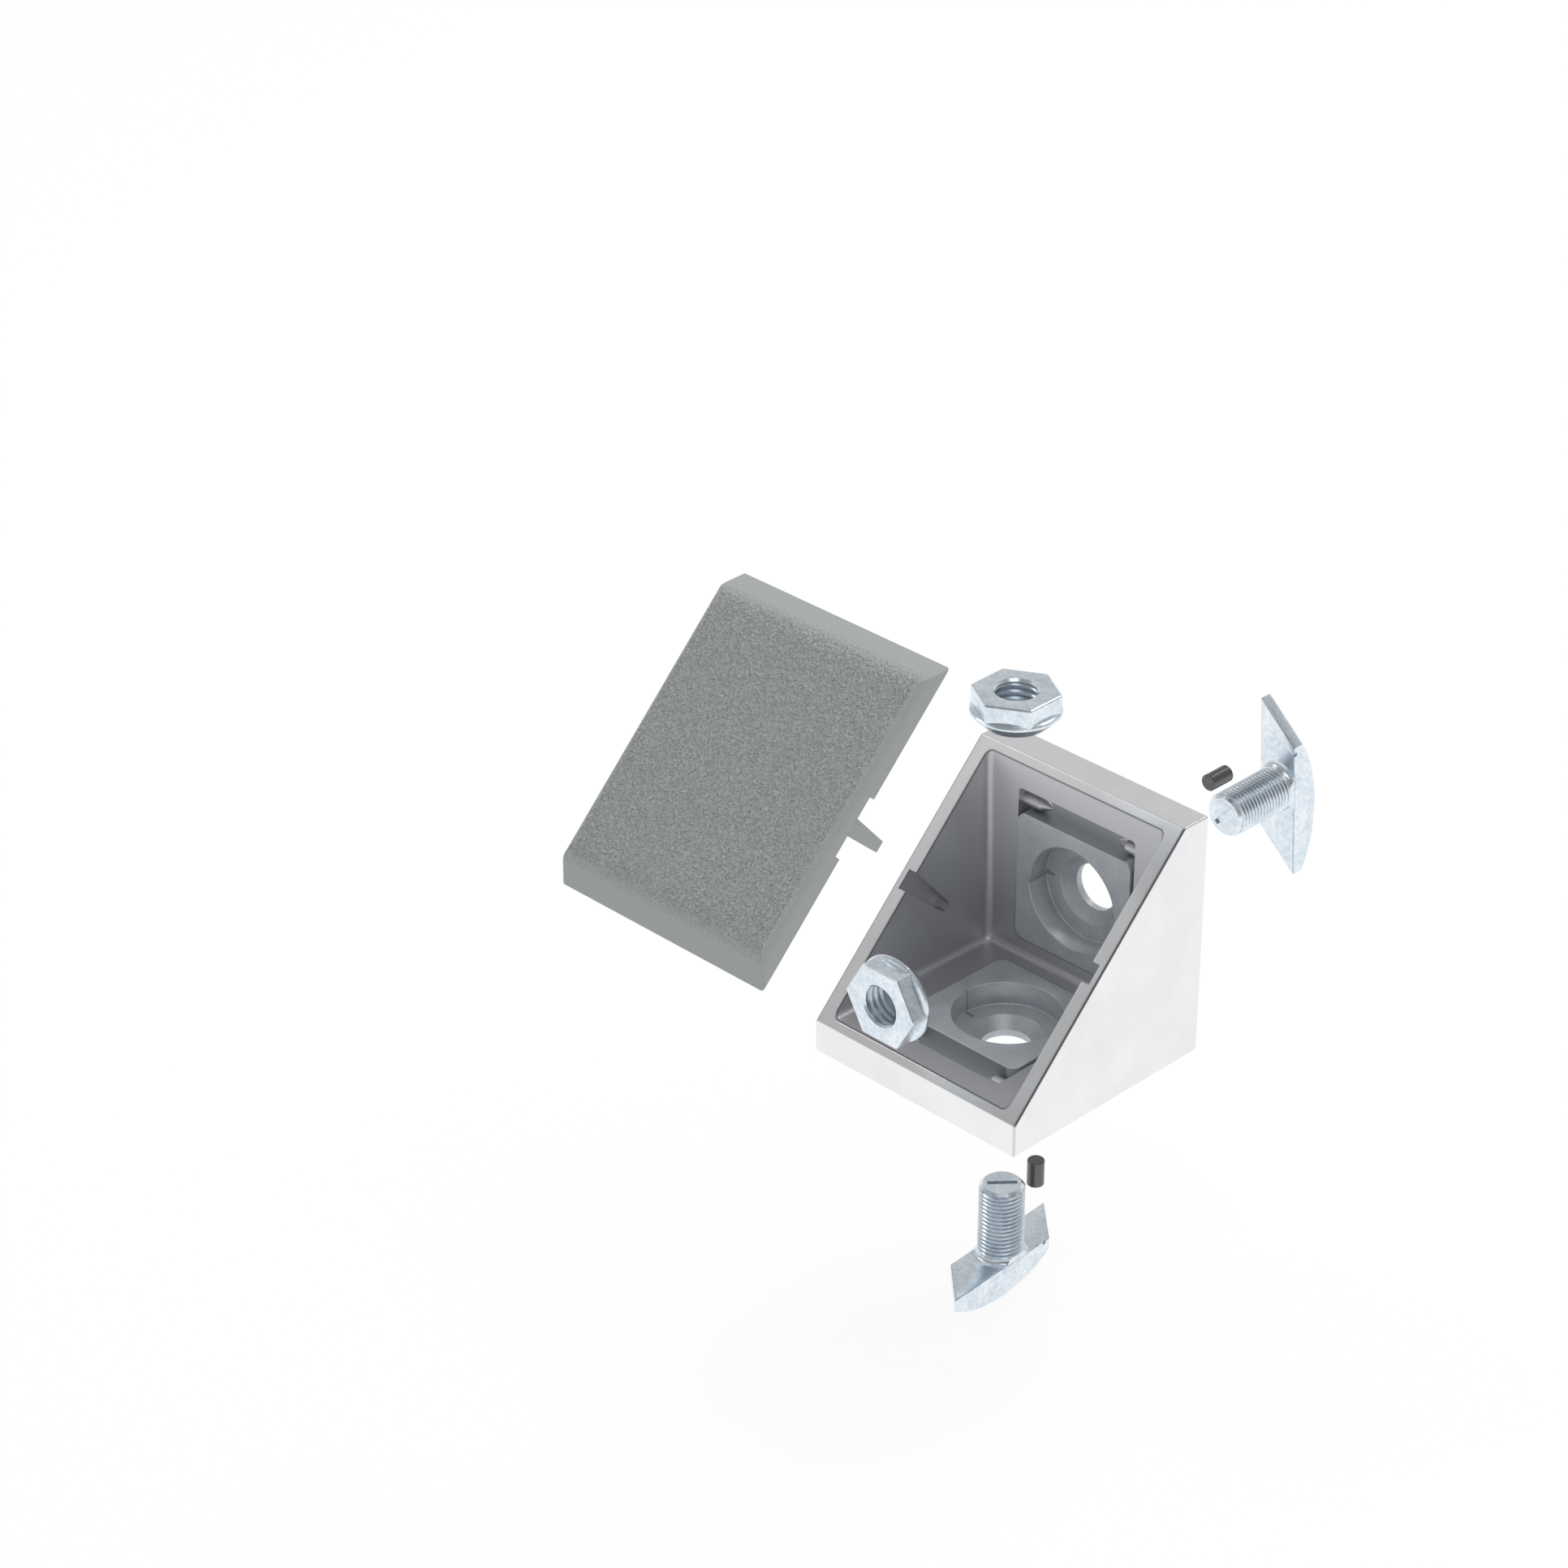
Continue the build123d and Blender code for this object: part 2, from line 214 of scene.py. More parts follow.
@dataclass(frozen=True)
class CastZincShell:
    """Pressure die-cast zinc: pale satin outside, and painted shade in the hollow that darkens with depth.

    Darker lines along the slanted side's and the toe's outer edges and round the hollow's mouth are painted
    shade along the rounded edges. The real grit is finer, and is drawn as coarse as it needs to show.
    """

    colour: str = "#F5F5F6"
    cloud_colour: str = "#EFEFF1"
    # Painted shade: the hollow darker than the outside, darker still deeper down, with a darker line round
    # its mouth
    hollow_shade_colour: str = "#D8D8DB"
    deep_shade_colour: str = "#CACACE"
    mouth_shade_colour: str = "#8E8E92"
    # Painted shade lines along the slanted side's and the toe's outer edges
    slope_edge_shade_colour: str = "#7C7C80"
    toe_edge_shade_colour: str = "#D6D6DA"
    edge_line_mm: tuple[float, float] = (0.42, 0.16)
    roughness: float = 0.34
    hollow_roughness: float = 0.46
    grit_mm: float = 0.22
    cloud_mm: float = 9.0
    grit_height_mm: float = 0.004
    slope_offset_mm: float = 28.5
    half_width_mm: float = 22.3
    back_mm: float = 22.5
    deep_mm: float = 20.0
    edge_mm: tuple[float, float] = (0.4, 0.7)
    rim_mm: tuple[float, float] = (0.02, 0.08)
    mouth_line_mm: float = 0.3
    mouth_blend: tuple[float, float] = (0.8, 1.1)

    def material(self) -> bpy.types.Material:
        """Makes the shell's material.

        Returns:
            The material.
        """
        material, tree, place = new_material("zinc_die_cast_painted_shade")
        inside, depth, side, y = self._hollow(tree, place)
        cloud = add_node(
            tree, "ShaderNodeTexNoise", {"Scale": per_patch(self.cloud_mm), "Detail": 3.0}, {"Vector": place}
        )
        tone = add_node(tree, "ShaderNodeValToRGB", links={"Fac": cloud.outputs["Fac"]})
        set_ramp(tone, [(0.35, linear(self.cloud_colour)), (0.65, linear(self.colour))])
        # Painted shade in the hollow: darker with depth below the slanted side, with a darker line at its
        # mouth
        fall = add_node(tree, "ShaderNodeMapRange", {"From Max": self.deep_mm * MM}, {"Value": depth})
        hollow_shade = add_node(tree, "ShaderNodeValToRGB", links={"Fac": fall.outputs["Result"]})
        line_end = self.mouth_line_mm / self.deep_mm
        dark_until, light_from = self.mouth_blend
        set_ramp(
            hollow_shade,
            [
                (dark_until * line_end, linear(self.mouth_shade_colour)),
                (light_from * line_end, linear(self.hollow_shade_colour)),
                (1.0, linear(self.deep_shade_colour)),
            ],
        )
        colour = add_node(
            tree,
            "ShaderNodeMix",
            {"data_type": "RGBA"},
            {0: inside, 6: tone.outputs["Color"], 7: hollow_shade.outputs["Color"]},
        )
        # Painted shade lines along the outer edges of the slanted side and of the toe
        lined = self._edge_line(tree, colour.outputs[2], side, depth, 0.0, self.slope_edge_shade_colour)
        lined = self._edge_line(tree, lined, side, y, -self.back_mm, self.toe_edge_shade_colour)
        gloss = add_node(
            tree,
            "ShaderNodeMapRange",
            {"To Min": self.roughness, "To Max": self.hollow_roughness},
            {"Value": inside},
        )
        grit = add_node(tree, "ShaderNodeTexNoise", {"Scale": per_patch(self.grit_mm)}, {"Vector": place})
        relief = add_node(
            tree,
            "ShaderNodeBump",
            {"Strength": 0.3, "Distance": self.grit_height_mm * MM},
            {"Height": grit.outputs["Fac"]},
        )
        metal = add_node(
            tree,
            "ShaderNodeBsdfPrincipled",
            {"Metallic": 1.0},
            {"Base Color": lined, "Roughness": gloss.outputs["Result"], "Normal": relief.outputs["Normal"]},
        )
        surface(tree, metal)
        return material

    def _edge_line(
        self,
        tree: bpy.types.NodeTree,
        colour: bpy.types.NodeSocket,
        side: bpy.types.NodeSocket,
        across: bpy.types.NodeSocket,
        face_mm: float,
        line_colour: str,
    ) -> bpy.types.NodeSocket:
        """Draws a thin painted shade line along the edge where a face meets the shell's sides.

        Args:
            tree: The node tree.
            colour: The colour so far.
            side: Distance from the middle plane, in metres.
            across: A measure that grows from the face into the shell, in metres.
            face_mm: Where the face lies on that measure.
            line_colour: The painted shade line's hex colour.

        Returns:
            The colour with the line.
        """
        wide, full = self.edge_line_mm
        half = self.half_width_mm
        line = within(tree, [(across, face_mm + wide, face_mm + full), (side, half - wide, half - full)])
        mixed = add_node(
            tree,
            "ShaderNodeMix",
            {"data_type": "RGBA", 7: linear(line_colour)},
            {0: line, 6: colour},
        )
        return mixed.outputs[2]

    def _hollow(
        self, tree: bpy.types.NodeTree, place: bpy.types.NodeSocket
    ) -> tuple[bpy.types.NodeSocket, ...]:
        """Finds the hollow by its place below the slanted side and between the outer faces.

        Args:
            tree: The node tree.
            place: The coordinate, in metres.

        Returns:
            The hollow's mask, the depth below the slanted side, the distance from the middle plane
            and the place along Y, all in metres.
        """
        part = add_node(tree, "ShaderNodeSeparateXYZ", links={0: place})
        x, y, z = part.outputs
        rise = add_node(tree, "ShaderNodeMath", {"operation": "SUBTRACT"}, {0: y, 1: z})
        depth = add_node(
            tree,
            "ShaderNodeMath",
            {"operation": "MULTIPLY_ADD", 1: math.sqrt(0.5), 2: self.slope_offset_mm * MM * math.sqrt(0.5)},
            {0: rise.outputs[0]},
        ).outputs[0]
        side = add_node(tree, "ShaderNodeMath", {"operation": "ABSOLUTE"}, {0: x}).outputs[0]
        near, far = self.edge_mm
        limits = [
            (side, self.half_width_mm - near, self.half_width_mm - far),
            (y, self.back_mm - near, self.back_mm - far),
            (y, near - self.back_mm, far - self.back_mm),
            (z, near, far),
            (z, 2 * self.back_mm - near, 2 * self.back_mm - far),
            (depth, *self.rim_mm),
        ]
        return within(tree, limits, "SMOOTHSTEP"), depth, side, y


@dataclass(frozen=True)
class ChromatedCastPlate:
    """Zinc die casting, chromated: a bluish grey matt metal with fine pores, and painted shade on its far
    ends.

    The real pores are finer, and are drawn as coarse as they need to show.
    """

    colour: str = "#C3C8CD"
    pore_colour: str = "#B2B7BC"
    # Painted shade on the plates' far ends
    end_shade_colour: str = "#8A8F94"
    # How far up the back plate's far end lies, and how far out towards the toe the base plate's does
    ends_mm: tuple[float, float] = (34.7, 12.2)
    end_blend_mm: tuple[float, float] = (0.12, 0.02)
    metallic: float = 0.5
    roughness: float = 0.42
    pore_mm: float = 0.35
    pore_depth_mm: float = 0.008
    cloud_mm: float = 4.0

    def material(self) -> bpy.types.Material:
        """Makes the plates' material, with painted shade on the far ends found along +Z and -Y.

        Returns:
            The material.
        """
        material, tree, place = new_material("zinc_die_cast_chromated")
        pores = add_node(
            tree, "ShaderNodeTexNoise", {"Scale": per_patch(self.pore_mm), "Detail": 4.0}, {"Vector": place}
        )
        cloud = add_node(tree, "ShaderNodeTexNoise", {"Scale": per_patch(self.cloud_mm)}, {"Vector": place})
        blend = add_node(
            tree,
            "ShaderNodeMath",
            {"operation": "MULTIPLY"},
            {0: pores.outputs["Fac"], 1: cloud.outputs["Fac"]},
        )
        tone = add_node(tree, "ShaderNodeValToRGB", links={"Fac": blend.outputs[0]})
        set_ramp(tone, [(0.12, linear(self.pore_colour)), (0.38, linear(self.colour))])
        part = add_node(tree, "ShaderNodeSeparateXYZ", links={0: place})
        toward_toe = add_node(
            tree, "ShaderNodeMath", {"operation": "MULTIPLY", 1: -1.0}, {0: part.outputs["Y"]}
        )
        colour = tone.outputs["Color"]
        begin, full = self.end_blend_mm
        # Painted shade on each far end
        for value, end_mm in zip((part.outputs["Z"], toward_toe.outputs[0]), self.ends_mm):
            end = within(tree, [(value, end_mm - begin, end_mm - full)])
            colour = add_node(
                tree,
                "ShaderNodeMix",
                {"data_type": "RGBA", 7: linear(self.end_shade_colour)},
                {0: end, 6: colour},
            ).outputs[2]
        relief = add_node(
            tree,
            "ShaderNodeBump",
            {"Strength": 0.25, "Distance": self.pore_depth_mm * MM},
            {"Height": pores.outputs["Fac"]},
        )
        metal = add_node(
            tree,
            "ShaderNodeBsdfPrincipled",
            {"Metallic": self.metallic, "Roughness": self.roughness},
            {"Base Color": colour, "Normal": relief.outputs["Normal"]},
        )
        surface(tree, metal)
        return material


@dataclass(frozen=True)
class BluePassivatedZinc:
    """Zinc electroplate, blue passivated: bright, faintly blue, with soft spangled patches.

    The plating's real grain is finer, and is drawn as coarse as it needs to show.
    """

    name: str = "steel_zinc_plated"
    colour: str = "#EEF5FB"
    patch_colour: str = "#E0EAF2"
    grey_colour: str = "#CFDBE5"
    roughness: float = 0.25
    roughness_swing: float = 0.05
    patch_mm: float = 0.9
    wide_mm: float = 4.0
    fine_mm: float = 0.3
    fine_height_mm: float = 0.006

    def material(self) -> bpy.types.Material:
        """Makes the fasteners' material.

        Returns:
            The material.
        """
        material, tree, place = new_material(self.name)
        patch = add_node(
            tree,
            "ShaderNodeTexNoise",
            {"Scale": per_patch(self.patch_mm), "Detail": 3.0, "Roughness": 0.55, "Distortion": 0.5},
            {"Vector": place},
        )
        wide = add_node(tree, "ShaderNodeTexNoise", {"Scale": per_patch(self.wide_mm)}, {"Vector": place})
        blend = add_node(
            tree,
            "ShaderNodeMix",
            {"data_type": "FLOAT", 0: 0.4},
            {2: patch.outputs["Fac"], 3: wide.outputs["Fac"]},
        )
        tone = add_node(tree, "ShaderNodeValToRGB", links={"Fac": blend.outputs[0]})
        set_ramp(
            tone,
            [
                (0.34, linear(self.grey_colour)),
                (0.48, linear(self.patch_colour)),
                (0.60, linear(self.colour)),
            ],
        )
        gloss = add_node(
            tree,
            "ShaderNodeMapRange",
            {
                "To Min": self.roughness + self.roughness_swing,
                "To Max": self.roughness - self.roughness_swing,
            },
            {"Value": blend.outputs[0]},
        )
        fine = add_node(
            tree, "ShaderNodeTexNoise", {"Scale": per_patch(self.fine_mm), "Detail": 3.0}, {"Vector": place}
        )
        relief = add_node(
            tree,
            "ShaderNodeBump",
            {"Strength": 0.15, "Distance": self.fine_height_mm * MM},
            {"Height": fine.outputs["Fac"]},
        )
        metal = add_node(
            tree,
            "ShaderNodeBsdfPrincipled",
            {"Metallic": 1.0},
            {"Base Color": tone.outputs[0], "Roughness": gloss.outputs[0], "Normal": relief.outputs[0]},
        )
        surface(tree, metal)
        return material


@dataclass(frozen=True)
class BlackenedPin:
    """Hardened steel, ground and oil blackened: a dark grey gloss with a fine mottle.

    The real mottle is finer, and is drawn as coarse as it needs to show.
    """

    colour: str = "#757576"
    mottle_colour: str = "#606061"
    roughness: float = 0.30
    mottle_mm: float = 0.12

    def material(self) -> bpy.types.Material:
        """Makes the pins' material.

        Returns:
            The material.
        """
        material, tree, place = new_material("steel_pin_blackened")
        mottle = add_node(
            tree, "ShaderNodeTexNoise", {"Scale": per_patch(self.mottle_mm)}, {"Vector": place}
        )
        tone = add_node(tree, "ShaderNodeValToRGB", links={"Fac": mottle.outputs["Fac"]})
        set_ramp(tone, [(0.3, linear(self.mottle_colour)), (0.7, linear(self.colour))])
        metal = add_node(
            tree,
            "ShaderNodeBsdfPrincipled",
            {"Metallic": 1.0, "Roughness": self.roughness},
            {"Base Color": tone.outputs["Color"]},
        )
        surface(tree, metal)
        return material


@dataclass(frozen=True)
class GrainedCapPlastic:
    """Glass-filled polyamide from an etched tool: matt grey, its slanted face with a leather grain, with
    painted shade in the grain's valleys.

    The real wrinkles are finer, and are drawn as coarse as they need to show.
    """

    colour: str = "#A9AEAD"
    # Painted shade in the grain's valleys
    valley_shade_colour: str = "#989D9C"
    smooth_colour: str = "#969B9A"
    roughness: float = 0.5
    grain_mm: float = 0.48
    fine_mm: float = 0.3
    fine_share: float = 0.35
    grain_depth_mm: float = 1.05
    grain_tones: tuple[float, float] = (0.5, 0.85)
    grain_strength: tuple[float, float] = (0.04, 1.0)
    grain_facing: tuple[float, float] = (0.70, 0.97)

    def material(self) -> bpy.types.Material:
        """Makes the cap's material.

        Returns:
            The material.
        """
        material, tree, place = new_material("polyamide_moulded_grain")
        wrinkles = add_node(
            tree,
            "ShaderNodeTexNoise",
            {"Scale": per_patch(self.grain_mm), "Detail": 1.0, "Distortion": 0.6},
            {"Vector": place},
        )
        fine = add_node(
            tree, "ShaderNodeTexNoise", {"Scale": per_patch(self.fine_mm), "Detail": 2.0}, {"Vector": place}
        )
        height = add_node(
            tree,
            "ShaderNodeMath",
            {"operation": "MULTIPLY_ADD", 1: self.fine_share},
            {0: fine.outputs["Fac"], 2: wrinkles.outputs["Fac"]},
        )
        grained = self._grained(tree)
        # Painted shade: the grain's valleys darker than its ridges
        tone = add_node(tree, "ShaderNodeValToRGB", links={"Fac": height.outputs[0]})
        valley, ridge = self.grain_tones
        set_ramp(tone, [(valley, linear(self.valley_shade_colour)), (ridge, linear(self.colour))])
        colour = add_node(
            tree,
            "ShaderNodeMix",
            {"data_type": "RGBA", 6: linear(self.smooth_colour)},
            {0: grained, 7: tone.outputs["Color"]},
        )
        smooth, full = self.grain_strength
        strength = add_node(
            tree, "ShaderNodeMapRange", {"To Min": smooth, "To Max": full}, {"Value": grained}
        )
        relief = add_node(
            tree,
            "ShaderNodeBump",
            {"Distance": self.grain_depth_mm * MM},
            {"Height": height.outputs[0], "Strength": strength.outputs["Result"]},
        )
        plastic = add_node(
            tree,
            "ShaderNodeBsdfPrincipled",
            {"Metallic": 0.0, "Roughness": self.roughness, "IOR": 1.53},
            {"Base Color": colour.outputs[2], "Normal": relief.outputs["Normal"]},
        )
        surface(tree, plastic)
        return material

    def _grained(self, tree: bpy.types.NodeTree) -> bpy.types.NodeSocket:
        """Makes the mask of faces that look along the slanted side's normal.

        Args:
            tree: The node tree.

        Returns:
            The mask, 1 on the grained face and 0 on the shoulders and sides.
        """
        facing = add_node(tree, "ShaderNodeNewGeometry")
        along = add_node(
            tree,
            "ShaderNodeVectorMath",
            {"operation": "DOT_PRODUCT", 1: (0.0, -math.sqrt(0.5), math.sqrt(0.5))},
            {0: facing.outputs["Normal"]},
        )
        begin, full = self.grain_facing
        mask = add_node(
            tree,
            "ShaderNodeMapRange",
            {"From Min": begin, "From Max": full},
            {"Value": along.outputs["Value"]},
        )
        return mask.outputs["Result"]


@dataclass(frozen=True)
class PaperFloor:
    """Seamless white studio paper: shows as white itself and keeps a faint shadow."""

    colour: str = "#F4F4F4"
    fibre_colour: str = "#F1F1F1"
    fibre_mm: float = 3.0
    shadow_share: float = 0.12

    def material(self) -> bpy.types.Material:
        """Makes the floor's material.

        Returns:
            The material.
        """
        material, tree, place = new_material("paper_seamless_white")
        fibres = add_node(tree, "ShaderNodeTexNoise", {"Scale": per_patch(self.fibre_mm)}, {"Vector": place})
        tone = add_node(tree, "ShaderNodeValToRGB", links={"Fac": fibres.outputs["Fac"]})
        set_ramp(tone, [(0.0, linear(self.fibre_colour)), (1.0, linear(self.colour))])
        paper = add_node(
            tree, "ShaderNodeBsdfPrincipled", {"Roughness": 0.9}, {"Base Color": tone.outputs["Color"]}
        )
        white = add_node(tree, "ShaderNodeEmission", {"Color": (1.0, 1.0, 1.0, 1.0), "Strength": 1.0})
        rays = add_node(tree, "ShaderNodeLightPath")
        seen = rays.outputs["Is Camera Ray"]
        for kind in ("Is Glossy Ray", "Is Transmission Ray"):
            seen = add_node(
                tree,
                "ShaderNodeMath",
                {"operation": "ADD", "use_clamp": True},
                {0: seen, 1: rays.outputs[kind]},
            ).outputs[0]
        share = add_node(
            tree,
            "ShaderNodeMath",
            {"operation": "MULTIPLY", 1: 1 - self.shadow_share},
            {0: seen},
        )
        mixed = add_node(
            tree,
            "ShaderNodeMixShader",
            links={0: share.outputs[0], 1: paper.outputs[0], 2: white.outputs[0]},
        )
        surface(tree, mixed)
        return material


class Finish(Enum):
    """The finish of each kind of piece."""

    SHELL = CastZincShell()
    PLATE = ChromatedCastPlate()
    FASTENER = BluePassivatedZinc()
    # Painted shade: darker tones for thread roots, the nuts' bores, the bolt heads' rounded top edges, end
    # slots' walls and dimples
    ROOT_AND_EDGE_SHADE = BluePassivatedZinc("steel_zinc_plated_root_and_edge_shade", "#C2CFDA", "#B6C4D0", "#A9B7C4")
    BORE_SHADE = BluePassivatedZinc("steel_zinc_plated_bore_shade", "#CFDAE4", "#C4D0DB", "#B7C4D0", roughness=0.3)
    RECESS_SHADE = BluePassivatedZinc("steel_zinc_plated_recess_shade", "#C4CED6", "#BAC4CD", "#AFBAC3")
    PIN = BlackenedPin()
    CAP = GrainedCapPlastic()


class Wardrobe:
    """Makes each finish once and hands it out."""

    def __init__(self) -> None:
        """Starts with no material made."""
        self._made: dict[Finish, bpy.types.Material] = {}

    def dress(self, piece: bpy.types.Object, *finishes: Finish) -> None:
        """Gives a piece its finishes.

        Args:
            piece: The mesh object to dress.
            finishes: Its finishes, in the order of its faces' material numbers.
        """
        marks = [face.material_index for face in piece.data.polygons]
        piece.data.materials.clear()
        for finish in finishes:
            if finish not in self._made:
                self._made[finish] = finish.value.material()
            piece.data.materials.append(self._made[finish])
        if len(finishes) > 1:
            piece.data.polygons.foreach_set("material_index", marks)


@dataclass(frozen=True)
class NodePiece:
    """A node of the frame that keeps its shape and gets its finish."""

    node: str
    finish: Finish

    def dress(self, frame: dict[str, Any], wardrobe: Wardrobe) -> bpy.types.Object:
        """Dresses the node.

        Args:
            frame: The loaded frame.
            wardrobe: Where finishes come from.

        Returns:
            The node's object.
        """
        piece = frame["nodes"][self.node]
        wardrobe.dress(piece, self.finish)
        return piece


class Facing(Enum):
    """Which seat a fastening set belongs to: its frame has +Z out of the seat into the shell."""

    BASE = "base"
    BACK = "back"


@dataclass(frozen=True)
class SeatFrame:
    """Carries pieces built on the base's axis to their own place."""

    facing: Facing
    bore_height: float = 22.5 * MM
    back_face: float = 22.5 * MM

    def matrix(self, out: float, turn_deg: float) -> Matrix:
        """Gives the placing of a piece.

        Args:
            out: How far the piece's own zero lies out of the shell's outer face, into the shell.
            turn_deg: The piece's turn about its axis.

        Returns:
            The matrix that carries the piece from its own frame to the set's.
        """
        own = Matrix.Translation((0, 0, out)) @ Matrix.Rotation(math.radians(turn_deg), 4, "Z")
        if self.facing is Facing.BASE:
            return own
        seat = Matrix.Translation((0, self.back_face, self.bore_height))
        return seat @ Matrix.Rotation(math.pi / 2, 4, "X") @ own


@dataclass(frozen=True)
class ThreadForm:
    """A screw thread with a narrow flat on its crest and in its root."""

    major: float
    minor: float
    pitch: float
    flat_share: float = 0.08

    def radius(self, angle: float, height: float) -> float:
        """Gives the thread's radius at one point of its surface.

        Args:
            angle: Angle round the axis, in radians.
            height: Height along the axis, in metres.

        Returns:
            The radius there.
        """
        phase = height / self.pitch - angle / (2 * math.pi)
        rise = 1 - abs(2 * (phase % 1.0) - 1)
        share = min(max((rise - self.flat_share) / (1 - 2 * self.flat_share), 0.0), 1.0)
        return self.minor + (self.major - self.minor) * share


class RingMesh:
    """Closed mesh made of rings that all have the same number of points."""

    def __init__(self, points_per_ring: int) -> None:
        """Starts an empty mesh.

        Args:
            points_per_ring: How many points each ring holds.
        """
        self.count = points_per_ring
        self.mesh = bmesh.new()
        self.rings: list[list[bmesh.types.BMVert]] = []

    def ring(self, points: Sequence[Point]) -> None:
        """Adds a ring and joins it to the one before.

        Args:
            points: The ring's points, in order.
        """
        verts = [self.mesh.verts.new(p) for p in points]
        if self.rings:
            self._join(self.rings[-1], verts)
        self.rings.append(verts)

    def close(self) -> None:
        """Joins the last ring to the first, as round a tube's wall."""
        self._join(self.rings[-1], self.rings[0])

    def _join(self, last: list[bmesh.types.BMVert], verts: list[bmesh.types.BMVert]) -> None:
        """Joins two rings with a band of four-sided faces.

        Args:
            last: The ring that the band starts from.
            verts: The ring that it ends at.
        """
        for i in range(self.count):
            j = (i + 1) % self.count
            self.mesh.faces.new((last[i], last[j], verts[j], verts[i]))

    def cap(self, ring: int, flip: bool) -> None:
        """Fills a ring with one flat face.

        Args:
            ring: The ring's number.
            flip: Whether the face looks against the ring's own turn.
        """
        verts = self.rings[ring]
        self.mesh.faces.new(list(reversed(verts)) if flip else verts)


@dataclass(frozen=True)
class SmoothZone:
    """Round zone on the axis in which no edge is shaded sharp, such as a thread."""

    radius: float
    low: float
    high: float

    def holds(self, point: Vector) -> bool:
        """Says whether a point of the piece lies in the zone."""
        return point.to_2d().length < self.radius and self.low < point.z < self.high


def finished(mesh: bmesh.types.BMesh, name: str, sharp_deg: float, zone: SmoothZone) -> bpy.types.Object:
    """Turns a bmesh into a smooth-shaded object with crisp edges.

    Args:
        mesh: The mesh in its own frame, which is freed.
        name: The object's name.
        sharp_deg: Edges that turn by more than this stay sharp outside the zone.
        zone: Where every edge is smooth.

    Returns:
        The new object, linked to the scene.
    """
    bmesh.ops.recalc_face_normals(mesh, faces=mesh.faces)
    data = bpy.data.meshes.new(name)
    mesh.to_mesh(data)
    mesh.free()
    data.shade_smooth()
    data.set_sharp_from_angle(angle=math.radians(sharp_deg))
    inside = [zone.holds(vertex.co) for vertex in data.vertices]
    for edge in data.edges:
        if all(inside[i] for i in edge.vertices):
            edge.use_edge_sharp = False
    piece = bpy.data.objects.new(name, data)
    bpy.context.scene.collection.objects.link(piece)
    return piece


def cut_away(piece: bpy.types.Object, tool: bmesh.types.BMesh) -> None:
    """Cuts a tool's room out of a piece.

    Args:
        piece: The mesh object to cut.
        tool: The closed mesh to take away, which is freed.
    """
    data = bpy.data.meshes.new("cutter")
    bmesh.ops.recalc_face_normals(tool, faces=tool.faces)
    tool.to_mesh(data)
    tool.free()
    cutter = bpy.data.objects.new("cutter", data)
    bpy.context.scene.collection.objects.link(cutter)
    change = piece.modifiers.new("cut", "BOOLEAN")
    change.operation = "DIFFERENCE"
    change.solver = "EXACT"
    change.object = cutter
    graph = bpy.context.evaluated_depsgraph_get()
    cut = bpy.data.meshes.new_from_object(piece.evaluated_get(graph))
    piece.modifiers.clear()
    piece.data = cut
    bpy.data.objects.remove(cutter)


